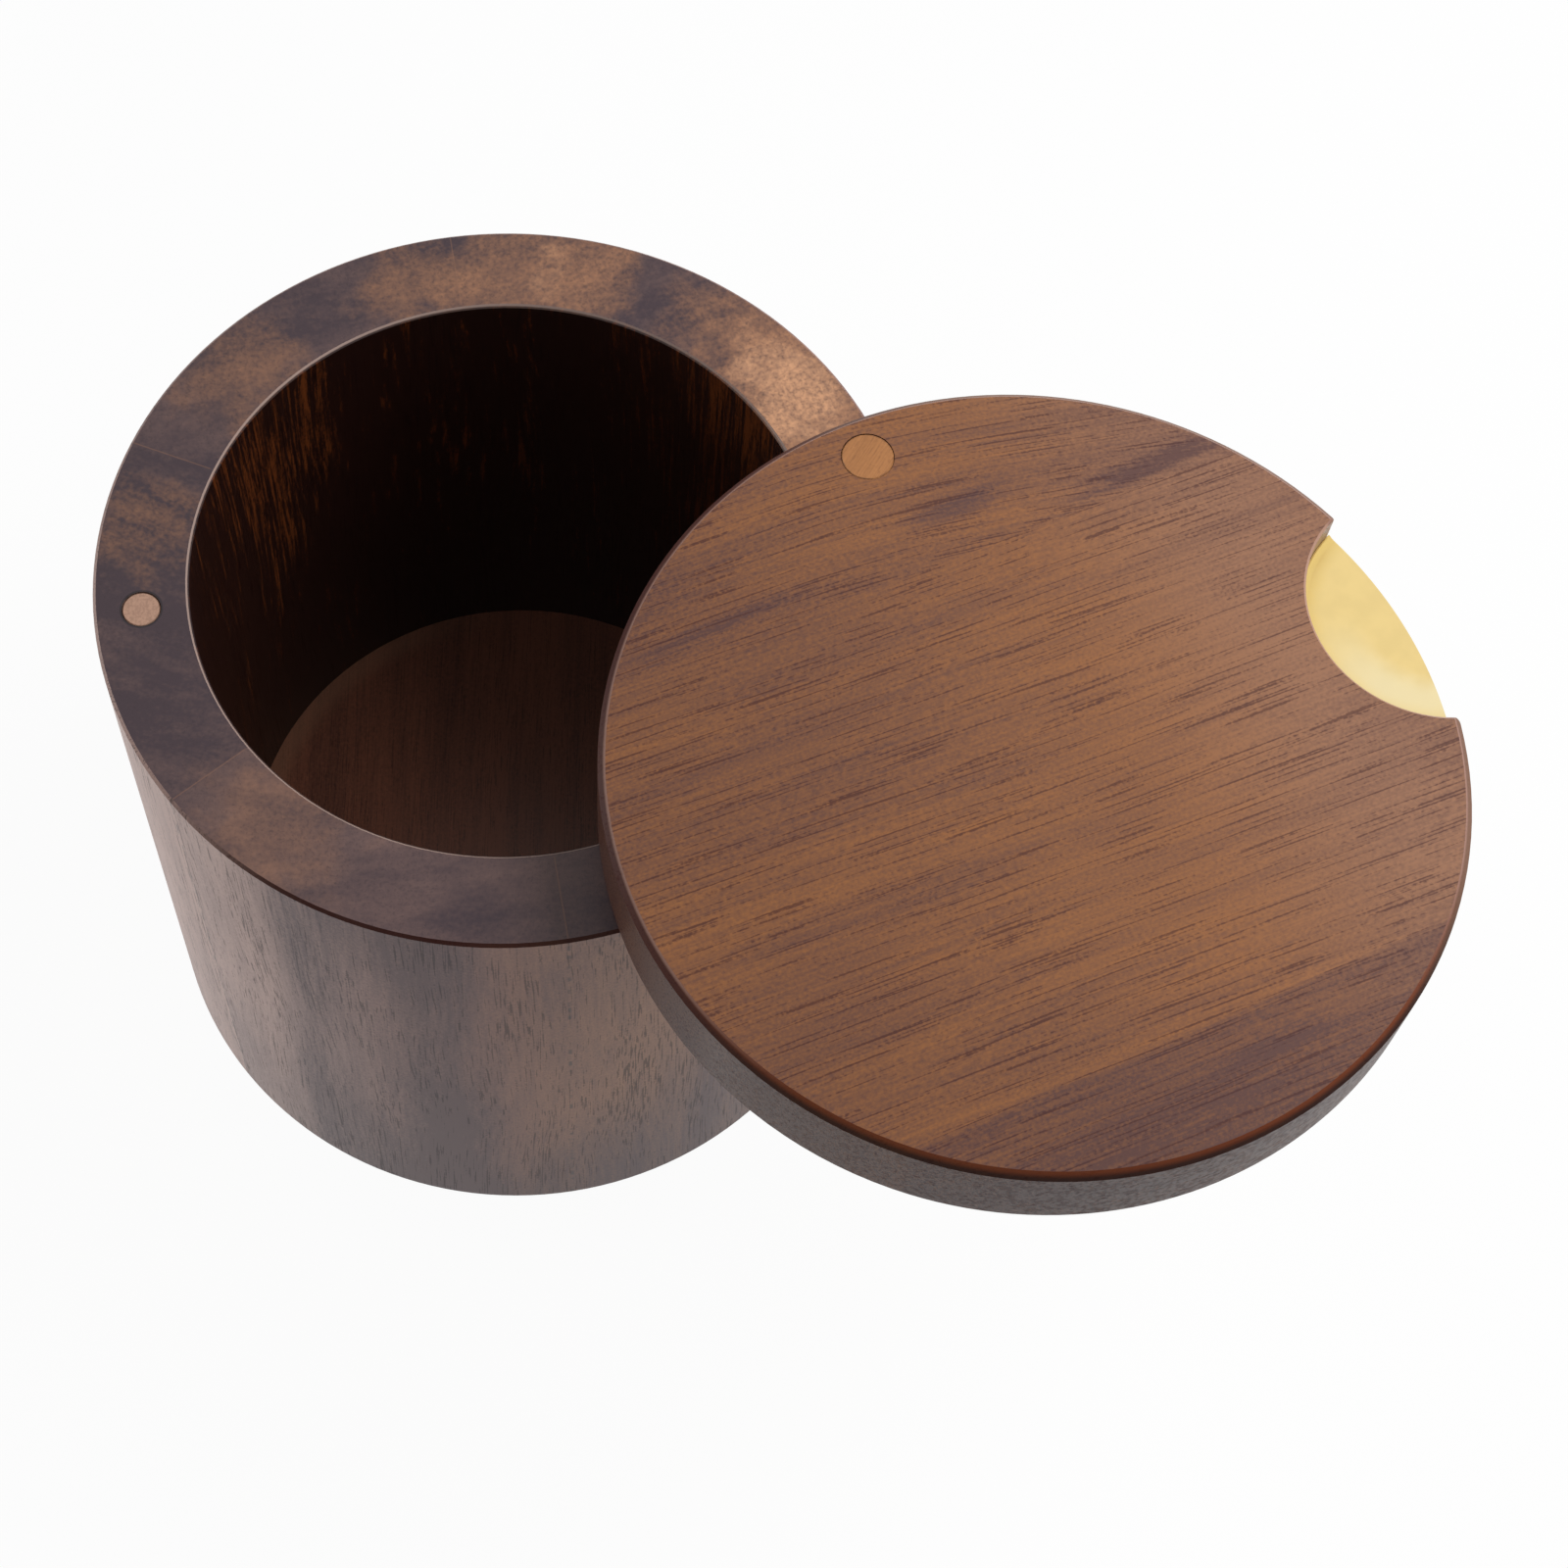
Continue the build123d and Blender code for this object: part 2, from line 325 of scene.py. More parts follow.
def build_dark_streak():
    """A soft streak along the grain of a board, given in the board's millimetres."""
    graph, given, made = new_group(
        "Dark Streak",
        {
            "Position": (VECTOR, (0, 0, 0)),
            "Centre": (VECTOR, (0, 0, 0)),
            "Half Width": (NUMBER, 2.0),
            "Half Length": (NUMBER, 12.0),
        },
        {"Mask": NUMBER},
    )
    ragged = graph.noise(given["Position"], (1.5, 4.0, 12.0), detail=3.0, roughness=0.6)
    size = graph.combine(given["Half Width"], 1.0, given["Half Length"])
    offset = graph.vector("SUBTRACT", given["Position"], given["Centre"])
    offset = graph.vector("MULTIPLY", graph.vector("DIVIDE", offset, size), IN_BOARD)
    away = graph.vector("LENGTH", offset)
    away = graph.scale_add(graph.centred(ragged), 1.2, away)
    graph.wire(made["Mask"], graph.invert(graph.step(away, 0.1, 1.0)))


def build_metal_grain():
    """Fine lathe or tumbling marks on a metal: a value round 0.5 for roughness and bump."""
    graph, given, made = new_group(
        "Metal Grain",
        {"Cell": (VECTOR, (0.2, 0.2, 2.0)), "Cloud Size": (NUMBER, 6.0)},
        {"Marks": NUMBER, "Clouds": NUMBER},
    )
    place = graph.place_mm()
    graph.wire(made["Marks"], graph.noise(place, given["Cell"], detail=3.0, roughness=0.6))
    size = given["Cloud Size"]
    graph.wire(made["Clouds"], graph.noise(place, graph.combine(size, size, size)))


def new_material(name):
    """The graph of an empty new material."""
    material = bpy.data.materials.new(name)
    material.use_nodes = True
    material.node_tree.nodes.clear()
    return Graph(material.node_tree, material)


def dress(nodes, graph, inputs, height, depth=0.00002, strength=0.3):
    """Ends a material with a shader and a bump, and puts it in every slot of the CAD pieces."""
    surface = graph.add("ShaderNodeBsdfPrincipled", inputs)
    bump = graph.add("ShaderNodeBump", {"Height": height, "Distance": depth, "Strength": strength})
    graph.wire(surface.inputs["Normal"], bump.outputs[0])
    graph.add("ShaderNodeOutputMaterial", {"Surface": surface.outputs[0]})
    for node in nodes:
        piece = NODES[node]
        if not piece.material_slots:
            piece.data.materials.append(graph.material)
        for slot in piece.material_slots:
            slot.material = graph.material


def board_position(graph, middle, across, grain, offset=(0.0, 0.0, 0.0)):
    """Position in a board's own millimetres: X across it, Z along its grain."""
    through = grain.cross(across)
    turn = Matrix((across, through, grain)).transposed().to_euler()
    inputs = {
        "Vector": graph.place(),
        "Location": middle,
        "Rotation": turn,
        "Scale": (METRES_PER_MM,) * 3,
    }
    mapping = graph.add("ShaderNodeMapping", inputs, vector_type="TEXTURE")
    return graph.vector("ADD", mapping.outputs[0], offset)


# ---- Sizes and colours that a user would change -----------------------------
SHARE = {"min": 0.0, "max": 1.0, "subtype": "FACTOR"}
ANGLE = {"subtype": "ANGLE"}
LENGTH = {"subtype": "DISTANCE", "unit": "LENGTH"}


def amount(name, description, default, **kind):
    return bpy.props.FloatProperty(name=name, description=description, default=default, **kind)


def paint(name, description, rgb):
    return bpy.props.FloatVectorProperty(
        name=name, description=description, default=rgb, subtype="COLOR", min=0.0, max=1.0
    )


class SaltBoxFinish(bpy.types.PropertyGroup):
    """Colours and gloss of the pieces."""

    lid_light: paint("Lid wood", "Lighter wood of the lid", (0.265, 0.11, 0.044))
    # A painted sheen: the lid drawn paler towards its notch end.
    lid_pale: paint(
        "Lid wood at the notch", "Paler wood of the lid beside the thumb notch", (0.268, 0.133, 0.078)
    )
    lid_dark: paint("Lid streaks", "Darker bands of the lid's wood", (0.1, 0.049, 0.042))
    pore: paint("Pores", "Colour in the pores of the lid", (0.05, 0.016, 0.016))
    wall_light: paint("Wall wood", "Lighter wood of the wall's sides", (0.3, 0.135, 0.095))
    # Painted sheen on the wall's sides to the left of the front.
    wall_pale: paint(
        "Pale wall wood", "Wood of the wall to the left of the front", (0.465, 0.302, 0.258)
    )
    wall_golden: paint(
        "Golden wall wood", "Wood of the wall to the right of the front", (0.34, 0.165, 0.085)
    )
    wall_dark: paint("Wall bands", "Darker bands of the wall's sides", (0.08, 0.032, 0.034))
    rim_warm: paint(
        "Warm end grain", "Lighter patches of the rim's end grain", (0.47, 0.225, 0.115)
    )
    rim_plain: paint(
        "Plain end grain", "Lighter end grain away from the warm patches", (0.25, 0.15, 0.125)
    )
    # Partly painted light: the palest end grain beside the pivot.
    rim_pale: paint("Pale end grain", "Palest end grain, beside the pivot", (0.58, 0.305, 0.17))
    rim_cool: paint("Dark end grain", "Darker end grain of the rim", (0.052, 0.034, 0.041))
    bore_light: paint("Bore wood", "Lighter wood inside the bore", (0.13, 0.034, 0.009))
    bore_dark: paint("Bore bands", "Darker wood inside the bore", (0.016, 0.0055, 0.004))
    floor_light: paint("Floor wood", "Lighter wood of the floor disc", (0.225, 0.078, 0.043))
    floor_dark: paint("Floor bands", "Darker bands of the floor disc", (0.05, 0.018, 0.013))
    plug_light: paint("Plug wood", "Lighter wood of the pivot plug", (0.42, 0.185, 0.07))
    plug_dark: paint("Plug bands", "Darker wood of the pivot plug", (0.28, 0.12, 0.045))
    brass: paint("Thumb plate", "Satin brass of the thumb plate", (0.88, 0.67, 0.29))
    # Painted highlight on the thumb plate, in an arc in from the notch's wall.
    brass_highlight: paint("Rubbed brass", "Thumb plate where the thumb rubs it", (0.92, 0.82, 0.54))
    # Painted shade on the thumb plate close to the notch's wall.
    brass_shade: paint("Aged brass", "Thumb plate beside the wood", (0.8, 0.56, 0.17))
    plating: paint("Magnets", "Copper-toned plating of the magnets", (0.44, 0.265, 0.19))
    turned_brass: paint("Insert and sleeve", "Plain turned brass", (0.76, 0.55, 0.25))
    steel: paint("Screw", "Zinc-plated steel", (0.6, 0.6, 0.62))
    nylon: paint("Washer", "Natural nylon", (0.8, 0.78, 0.72))
    lacquer: amount("Lacquer", "How fully the clear satin lacquer covers the wood", 0.4, **SHARE)
    lacquer_roughness: amount("Lacquer roughness", "Lower is shinier", 0.32, **SHARE)
    pore_width: amount("Pore width", "Width of the lid's pores, in millimetres", 0.22, min=0.05)
    pore_length: amount("Pore length", "Length of the lid's pores, in millimetres", 14.0, min=0.1)


class SaltBoxStudio(bpy.types.PropertyGroup):
    """Camera, lamps and floor."""

    camera_bearing: amount(
        "Camera bearing", "Turn of the camera round the box", math.radians(-14.588), **ANGLE
    )
    camera_height: amount(
        "Camera elevation", "Angle of the camera above the floor", math.radians(64.045), **ANGLE
    )
    camera_roll: amount(
        "Camera roll", "Turn of the camera about its own line of sight", math.radians(3.691), **ANGLE
    )
    camera_distance: amount("Camera distance", "From the aim point to the camera", 0.431885, **LENGTH)
    aim_side: amount("Aim sideways", "Aim point, to the right of the box's axis", 0.024084, **LENGTH)
    aim_height: amount("Aim height", "Aim point, above the floor", 0.035148, **LENGTH)
    lens: amount("Lens", "Focal length on a 36 mm sensor, in millimetres", 70.153, min=10.0)
    shift: amount("Sideways shift", "Shift of the lens, in widths of the picture", 0.0625)
    ambient: amount("Ambient light", "Strength of the light from all round", 0.3, min=0.0)
    key_power: amount("Key lamp", "Power of the lamp on the right", 1.75, min=0.0, unit="POWER")
    fill_power: amount("Fill lamp", "Power of the low lamp on the left", 3.5, min=0.0, unit="POWER")
    floor_size: amount("Floor width", "Width of the pale floor", 8.0, min=1.0, **LENGTH)


# ---- Pieces -----------------------------------------------------------------
# Each stave of the wall: turn of its growth bands in degrees, the board that it is sawn from, and
# the darkness of its sides and of its end grain. Staves of one board share its figure.
STAVES = (
    (40.0, 0, 0.45, 1.18),
    (-20.0, 0, 0.45, 1.18),
    (65.0, 1, 0.3, 1.18),
    (20.0, 2, 0.46, 0.95),
    (-40.0, 2, 0.48, 0.98),
    (10.0, 3, 0.42, 1.14),
)
BOARD_SPACING = (157.0, 131.0, 140.0)  # mm between two boards in the block of figure
# Parts of the wall's sides: bearing, and the cosines between which each one fades in.
# The part to the left of the front is drawn paler as a painted sheen.
PALE_PART = (math.radians(195.0), 0.4, 0.95)
DIM_PART = (math.radians(241.0), 0.945, 0.998)
GOLDEN_PART = (math.radians(310.0), 0.4, 0.9)
BARE_SHADED_EDGE_PART = (math.radians(262.0), 0.5, 0.85)
BORE_EDGE_HIGHLIGHT_PART = (math.pi, -0.5, 0.5)
FLOOR_PALE_PART = (math.radians(160.0), 0.1, 0.8)
PALE_DARKNESS, DIM_DARKNESS, FOOT_DARKNESS = -0.28, 0.62, 0.3  # added to a stave's own
# The wall's foot is darkened as painted shade, from here down.
FOOT_TOP = 0.055  # the wall darkens from here down
# The bore's wood is nearly black, with painted light on lighter parts high up: bearing, and how much
# lighter.
BORE_DARKNESS = 1.02
GLOWS = ((math.radians(135.0), 0.23), (math.radians(38.0), 0.5))
GLOW_COSINES = (0.87, 0.98)
GLOW_HEIGHTS = (0.03, 0.085)
# Warm patches of the end grain: bearing in degrees, size in mm, strength. The strong ones beside the
# pivot are partly painted light where the rim is brightest.
PATCHES = (
    (19.0, 13.0, 0.65),
    (31.0, 12.0, 0.6),
    (46.0, 9.0, 0.2),
    (68.0, 10.0, 0.45),
    (80.0, 10.0, 0.35),
    (96.0, 10.0, 0.25),
    (128.0, 12.0, 0.2),
    (162.0, 10.0, 0.25),
    (222.0, 14.0, 0.13),
)
END_GRAIN_STRETCH = (0.6, 0.6, 1.0)  # widens the rings on the rim
FLOOR_GRAIN = math.radians(78.0)
PLUG_GRAIN = LID_BEARING + math.radians(125.0)
# Marks in the wood: strength, and colour.
SEAT_LINE = (0.8, (0.012, 0.01, 0.012, 1))  # round the rim magnet
RIM_JOINT = (0.28, (0.3, 0.15, 0.09, 1))
SIDE_JOINT = (0.7, (0.02, 0.012, 0.014, 1))
# Painted highlight on the bore's edge.
BORE_EDGE_HIGHLIGHT = (0.7, (0.5, 0.36, 0.31, 1))  # of the bore
# The front edge, unlacquered and darkened as painted shade.
BARE_SHADED_EDGE = (0.9, (0.03, 0.006, 0.003, 1))  # at the wall's front
FLOOR_EDGE = (0.4, (0.27, 0.135, 0.08, 1))
LID_END = (0.45, (0.05, 0.03, 0.026, 1))
LID_SIDE = (1.0, (0.03, 0.013, 0.014, 1))
# Painted light on the notch's wall.
NOTCH_WALL = (0.8, (0.42, 0.27, 0.17, 1))
PLUG_RING = (0.4, (0.06, 0.027, 0.022, 1))
LID_EDGE_STRENGTH = 0.9
RIM_JOINT_WIDTH, SIDE_JOINT_WIDTH = 0.13, 0.4  # mm
# Colours of the lid's chamfer, all painted light and shade: low and high on the side in painted
# shade, whose upper part is a redder painted highlight; right (lit) and left (shaded) on the other
# side; its crest as a painted highlight; and the notch's edge as a painted highlight.
SHADE_LOW, SHADE_HIGH = (0.018, 0.005, 0.003, 1), (0.15, 0.036, 0.012, 1)
LIT_RIGHT, SHADED_LEFT = (0.17, 0.09, 0.06, 1), (0.05, 0.014, 0.012, 1)
CREST = (0.3, 0.17, 0.135, 1)
NOTCH_EDGE = (0.38, 0.22, 0.16, 1)
# Colours in the pores.
WALL_PORES = (0.02, 0.013, 0.014, 1)
BORE_PORES = (0.006, 0.002, 0.002, 1)
RIM_PORES = (0.035, 0.022, 0.024, 1)
FLOOR_PORES = (0.015, 0.008, 0.007, 1)
PLUG_PORES = (0.09, 0.04, 0.025, 1)
WOOD_ROUGHNESS = 0.42
PORE_ROUGHNESS = 0.25  # added in the pores
PORE_DEPTH = 0.00004
SIDE_BARENESS = 0.4  # how much of the lacquer the wall's sides lack


def dress_wood(node, graph, colour, pores, finish, bare=None):
    """Satin lacquer over wood whose pores sink a little; the lacquer is missing where bare is 1."""
    lacquer = finish.lacquer
    if bare is not None:
        lacquer = graph.scale_add(bare, -finish.lacquer, finish.lacquer)
    inputs = {
        "Base Color": colour,
        "Roughness": graph.scale_add(pores, PORE_ROUGHNESS, WOOD_ROUGHNESS),
        "Specular IOR Level": 0.1,
        "Coat Weight": lacquer,
        "Coat Roughness": finish.lacquer_roughness,
    }
    dress((node,), graph, inputs, graph.invert(pores), PORE_DEPTH, strength=0.35)


class SALTBOX_OT_wall_staves(bpy.types.Operator):
    """Finishes the six glued staves of the wall, end grain on the rim"""

    bl_idname = "saltbox.wall_staves"
    bl_label = "Wall staves"

    def execute(self, context):
        finish = context.scene.saltbox_finish
        for number, (turn, board, darkness, rim_darkness) in enumerate(STAVES):
            middle = FIRST_STAVE_MIDDLE + number * STAVE_ARC
            graph = new_material(f"Wall stave {number + 1} wood")
            across = along(middle + math.radians(turn))
            offset = tuple(board * spacing for spacing in BOARD_SPACING)
            place = board_position(graph, ORIGIN, across, UP, offset)
            object_place = graph.place()
            height = graph.split(object_place)[2]
            level = graph.level(object_place)
            reach = graph.vector("LENGTH", level)
            outward = graph.vector("NORMALIZE", level)
            outside = graph.step(reach, BORE_RADIUS + 0.5, BORE_RADIUS + 1.0)
            top = graph.group("End Grain", Grain=UP)["Mask"]
            side = graph.math("SUBTRACT", outside, top, clamp=True)

            wood = self.side_wood(graph, finish, place, outward, height, darkness)
            bore = self.bore_wood(graph, finish, place, outward, height)
            rim = self.rim_wood(graph, finish, place, middle, rim_darkness)
            colour = graph.blend(top, graph.blend(outside, bore, wood["Colour"]), rim)
            # A joint is a faint pale line on the rim, and a chain of dark spots down the side.
            joint = graph.times(self.joint_line(graph, middle, RIM_JOINT_WIDTH), top)
            colour = graph.mark(colour, graph.times(joint, outside), *RIM_JOINT)
            spots = graph.step(graph.noise(place, (30.0, 30.0, 2.0), detail=1.0), 0.47, 0.6)
            joint = graph.times(self.joint_line(graph, middle, SIDE_JOINT_WIDTH), side)
            colour = graph.mark(colour, graph.times(joint, spots), *SIDE_JOINT)
            colour, bare = self.work_edges(graph, colour, reach, outward, height)
            bare = graph.math("MAXIMUM", bare, graph.times(side, SIDE_BARENESS))
            # A glue line round the rim magnet, darkened further as painted shade in the seat's gap.
            seat = graph.group("Ring Line", Centre=MAGNET_MIDDLE, Radius=2.5, Width=0.22, Breaks=0.2)
            colour = graph.mark(colour, seat["Mask"], *SEAT_LINE)
            dress_wood(f"wall_stave_{number + 1}", graph, colour, wood["Pores"], finish, bare)
        return {"FINISHED"}

    @staticmethod
    def side_wood(graph, finish, place, outward, height, darkness):
        """The wall's outer face: a painted sheen to the left of the front, then dark, golden to the
        right, and painted shade at the foot.
        """
        # Paler to the left of the front as a painted sheen.
        pale = graph.towards(outward, *PALE_PART)
        dim = graph.towards(outward, *DIM_PART)
        # Painted shade towards the wall's foot.
        foot = graph.step(height, FOOT_TOP, 0.0)
        for mask, added in ((foot, FOOT_DARKNESS), (pale, PALE_DARKNESS), (dim, DIM_DARKNESS)):
            darkness = graph.scale_add(mask, added, darkness)
        golden = graph.towards(outward, *GOLDEN_PART)
        light = graph.blend(golden, opaque(finish.wall_light), opaque(finish.wall_golden))
        return graph.group(
            "Wood Figure",
            Position=place,
            Light_Wood=graph.blend(pale, light, opaque(finish.wall_pale)),
            Dark_Wood=opaque(finish.wall_dark),
            Pore_Colour=WALL_PORES,
            Band_Width=6.0,
            Darkness=darkness,
            Contrast=1.0,
            Wander=7.0,
            Pore_Width=0.22,
            Pore_Length=7.0,
            Pore_Amount=0.6,
            Pore_Crowding=0.3,
            Fibre_Amount=0.3,
            Speck_Amount=0.5,
        )

    @staticmethod
    def bore_wood(graph, finish, place, outward, height):
        """The wood inside the bore, nearly black but for streaky painted light high up."""
        darkness = BORE_DARKNESS
        high = graph.step(height, *GLOW_HEIGHTS)
        # Painted light on the bore's wall high up, at the bearings of the glows.
        for bearing, lightness in GLOWS:
            glow = graph.times(graph.towards(outward, bearing, *GLOW_COSINES), high)
            darkness = graph.scale_add(glow, -lightness, darkness)
        return graph.group(
            "Wood Figure",
            Position=place,
            Light_Wood=opaque(finish.bore_light),
            Dark_Wood=opaque(finish.bore_dark),
            Pore_Colour=BORE_PORES,
            Band_Width=2.6,
            Darkness=darkness,
            Contrast=2.6,
            Wander=7.0,
            Pore_Width=0.3,
            Pore_Length=8.0,
            Pore_Amount=0.6,
            Fibre_Amount=1.0,
        )["Colour"]

    @staticmethod
    def rim_wood(graph, finish, place, middle, darkness):
        """The end grain on top of a stave; its light wood goes from plain to warm to pale; beside the
        pivot the warm and pale parts are partly painted light.
        """
        warmth = 0.0
        for bearing, size, strength in PATCHES:
            if abs(math.remainder(math.radians(bearing) - middle, 2 * math.pi)) < STAVE_ARC:
                centre = along(math.radians(bearing)) * RIM_MIDDLE
                patch = graph.group("Warm Patch", Centre=centre, Size=size)["Mask"]
                warmth = graph.scale_add(patch, strength, warmth)
        warm, pale = graph.step(warmth, 0.0, 0.25), graph.step(warmth, 0.45, 0.95)
        light = graph.blend(warm, opaque(finish.rim_plain), opaque(finish.rim_warm))
        return graph.group(
            "Wood Figure",
            Position=graph.vector("MULTIPLY", place, END_GRAIN_STRETCH),
            Light_Wood=graph.blend(pale, light, opaque(finish.rim_pale)),
            Dark_Wood=opaque(finish.rim_cool),
            Pore_Colour=RIM_PORES,
            Band_Width=2.4,
            Darkness=graph.math("SUBTRACT", darkness, warmth),
            Contrast=0.62,
            Wander=7.0,
            Pore_Width=0.2,
            Pore_Length=4.5,
            Pore_Amount=0.25,
            Fibre_Amount=0.2,
            Speck_Amount=graph.scale_add(warmth, 1.2, 0.35),
        )["Colour"]

    @staticmethod
    def work_edges(graph, colour, reach, outward, height):
        """The rim's broken edges: a painted highlight at the bore, unlacquered and darkened as
        painted shade at the front.
        """
        slope = graph.chamfer()
        outer = graph.math("GREATER_THAN", reach, BORE_RADIUS + 4.0)
        left = graph.scale_add(graph.towards(outward, *BORE_EDGE_HIGHLIGHT_PART), 0.4, 0.6)
        # The painted highlight covers only the upper part of the bore's edge.
        upper = graph.step(height, RIM_TOP - 0.00028, RIM_TOP - 0.00016)
        pale = graph.times(graph.math("SUBTRACT", slope, outer, clamp=True), left)
        colour = graph.mark(colour, graph.times(pale, upper), *BORE_EDGE_HIGHLIGHT)
        # Unlacquered at the front, and darkened there as painted shade.
        dark = graph.times(graph.times(slope, outer), graph.towards(outward, *BARE_SHADED_EDGE_PART))
        return graph.mark(colour, dark, *BARE_SHADED_EDGE), dark

    @staticmethod
    def joint_line(graph, middle, width):
        """1 at either glue joint of the stave, 0 a width in mm away from it."""
        place = board_position(graph, ORIGIN, along(middle), UP)
        x, y, _ = graph.split(place)
        half = STAVE_ARC / 2
        inside = graph.times(graph.math("ABSOLUTE", y), math.cos(half))
        inside = graph.math("SUBTRACT", graph.times(x, math.sin(half)), inside)
        return graph.invert(graph.step(inside, 0.03, width))


class SALTBOX_OT_floor_disc(bpy.types.Operator):
    """Finishes the floor disc, its grain running from front to back"""

    bl_idname = "saltbox.floor_disc"
    bl_label = "Floor disc"

    def execute(self, context):
        finish = context.scene.saltbox_finish
        graph = new_material("Floor disc wood")
        across, grain = along(FLOOR_GRAIN - math.pi / 2), along(FLOOR_GRAIN)
        wood = graph.group(
            "Wood Figure",
            Position=board_position(graph, ORIGIN, across, grain, (400.0, 20.0, 90.0)),
            Light_Wood=opaque(finish.floor_light),
            Dark_Wood=opaque(finish.floor_dark),
            Pore_Colour=FLOOR_PORES,
            Band_Width=3.5,
            Darkness=0.3,
            Contrast=1.3,
            Wander=4.0,
            Pore_Width=0.14,
            Pore_Length=9.0,
            Pore_Amount=0.4,
            Fibre_Amount=0.25,
        )
        level = graph.level(graph.place())
        edge = graph.step(graph.vector("LENGTH", level), BORE_RADIUS - 4.5, BORE_RADIUS - 1.0)
        left = graph.towards(graph.vector("NORMALIZE", level), *FLOOR_PALE_PART)
        colour = graph.mark(wood["Colour"], graph.times(edge, left), *FLOOR_EDGE)
        dress_wood("floor_disc", graph, colour, wood["Pores"], finish)
        return {"FINISHED"}


class SALTBOX_OT_lid_planks(bpy.types.Operator):
    """Finishes the three glued planks of the lid, grain running to the thumb notch"""

    bl_idname = "saltbox.lid_planks"
    bl_label = "Lid planks"

    # Plank, offset into the wood, band width, darkness, contrast, wander, bend of the grain.
    planks = (
        ("lid_plank_left", (210.0, 0.0, 60.0), 4.5, 0.8, 0.8, 3.0, 0.0),
        ("lid_plank_middle", (0.0, 0.0, 0.0), 5.0, 0.25, 0.8, 2.0, 0.0),
        ("lid_plank_right", (340.0, 0.0, 150.0), 5.0, 0.45, 0.9, 4.0, 0.0025),
    )
    # The side of the lid whose chamfer is darkened as painted shade, as a direction across and along
    # the boards.
    shaded_side = (math.sin(math.radians(-75.0)), 0.0, math.cos(math.radians(-75.0)))
    # Soft dark streaks: middle across and along the lid in mm, half width, half length, strength.
    streaks = (
        (30.5, -32.0, 2.4, 17.0, 0.7),
        (34.5, -6.0, 2.6, 9.0, 0.6),
        (31.0, 24.0, 1.5, 16.0, 0.4),
        (-42.0, -8.0, 2.0, 12.0, 0.4),
    )

    def execute(self, context):
        finish = context.scene.saltbox_finish
        across, grain = along(LID_BEARING), along(LID_BEARING + math.pi / 2)
        slope = LID_BEARING - GRAIN_SLOPE
        sloped = (along(slope), along(slope + math.pi / 2))
        for node, offset, band, darkness, contrast, wander, bend in self.planks:
            graph = new_material(f"{node.replace('_', ' ')} wood")
            board = board_position(graph, LID_MIDDLE, across, grain)
            place = board_position(graph, LID_MIDDLE, *sloped, offset)
            # Paler towards the notch end as a painted sheen.
            pale = graph.step(graph.split(board)[2], -8.0, -40.0)
            wood = graph.group(
                "Wood Figure",
                Position=place,
                Light_Wood=graph.blend(pale, opaque(finish.lid_light), opaque(finish.lid_pale)),
                Dark_Wood=opaque(finish.lid_dark),
                Pore_Colour=opaque(finish.pore),
                Band_Width=band,
                Darkness=self.plank_darkness(graph, board, darkness, node),
                Contrast=contrast,
                Wander=wander,
                Bend=bend,
                Bend_Start=offset[2] + 15.0,
                Pore_Width=finish.pore_width,
                Pore_Length=finish.pore_length,
                Pore_Amount=0.65,
                Pore_Crowding=0.06,
                Fibre_Amount=0.55,
                Speck_Amount=1.1,
            )
            end = graph.group("End Grain", Grain=grain)["Mask"]
            colour = graph.mark(wood["Colour"], end, *LID_END)
            side = graph.group("End Grain", Grain=UP, Start=0.2, Full=0.6)["Mask"]
            side = graph.invert(side)
            mottle = graph.scale_add(wood["Fibre"], 3.2, -1.05, clamp=True)
            colour = graph.mark(colour, graph.times(side, mottle), *LID_SIDE)
            reach = graph.vector("MULTIPLY", graph.vector("SUBTRACT", board, NOTCH_PLACE), IN_BOARD)
            reach = graph.vector("LENGTH", reach)
            # The notch's wall is drawn lighter as painted light.
            notch = graph.step(reach, NOTCH_RADIUS + 0.7, NOTCH_RADIUS + 0.3)
            colour = graph.mark(colour, graph.times(side, notch), *NOTCH_WALL)
            colour, edge = self.work_edges(graph, colour, board)
            bare = graph.math("MAXIMUM", edge, self.worn_parts(graph, board, side))
            dress_wood(node, graph, colour, wood["Pores"], finish, bare)
        return {"FINISHED"}

    @staticmethod
    def worn_parts(graph, board, side):
        """Where the lacquer is thin: in specks on the lid's side, and more and more to its left."""
        lengthwise = graph.split(board)[2]
        specks = graph.step(graph.noise(board, (0.7, 0.8, 0.7)), 0.42, 0.6)
        dry = graph.scale_add(specks, 0.62, 0.3)
        dry = graph.math("MAXIMUM", dry, graph.step(lengthwise, 46.0, 50.0))
        left = graph.times(graph.step(lengthwise, -20.0, 45.0), 0.6)
        return graph.math("MAXIMUM", graph.times(side, dry), left)

    def plank_darkness(self, graph, board, darkness, node):
        """A plank's darkness with its streaks, and painted shade towards the lid's left end; the left
        plank is paler beside its joint.
        """
        x, _, z = graph.split(board)
        if node == "lid_plank_left":
            near = graph.step(x, LEFT_JOINT - 1.2, LEFT_JOINT)
            darkness = graph.scale_add(near, -0.35, darkness)
        darkness = graph.math("SUBTRACT", darkness, 0.06)
        # Darker towards the lid's left end: painted shade.
        darkness = graph.scale_add(graph.step(z, -35.0, 45.0), 0.28, darkness)
        for across, lengthwise, half_width, half_length, strength in self.streaks:
            streak = graph.group(
                "Dark Streak",
                Position=board,
                Centre=(across, 0.0, lengthwise),
                Half_Width=half_width,
                Half_Length=half_length,
            )["Mask"]
            darkness = graph.scale_add(streak, strength, darkness)
        return darkness

